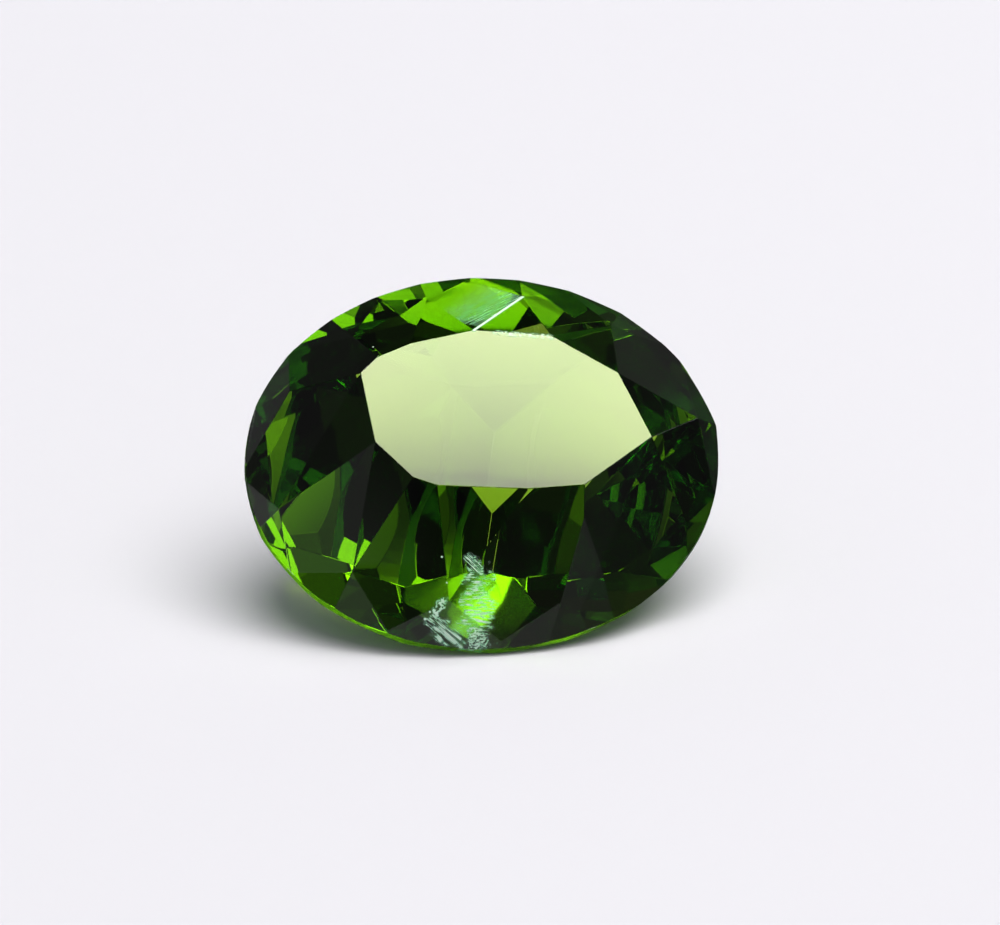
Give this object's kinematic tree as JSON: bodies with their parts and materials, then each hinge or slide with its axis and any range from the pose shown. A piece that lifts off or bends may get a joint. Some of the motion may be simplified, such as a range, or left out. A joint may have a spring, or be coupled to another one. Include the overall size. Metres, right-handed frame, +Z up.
{
  "type": "oval cut peridot",
  "caption": "Oval cut clear green gemstone with a flat table, faceted crown, thin girdle and pointed faceted pavilion, lying tilted on one pavilion facet",
  "frame": {"origin": "on the surface that the stone lies on, under the middle of its bounding box", "axes": "+Z up from that surface, -Y the side that the table leans towards, +X along the long side of the oval, to the right as seen from the table side"},
  "size_m": [0.01, 0.0072, 0.0058],
  "materials": {
    "peridot_crystal": "polished facets, fine scratches on a few of them"
  },
  "bodies": {
    "root": {"peridot": "peridot_crystal"}
  },
  "joints": []
}
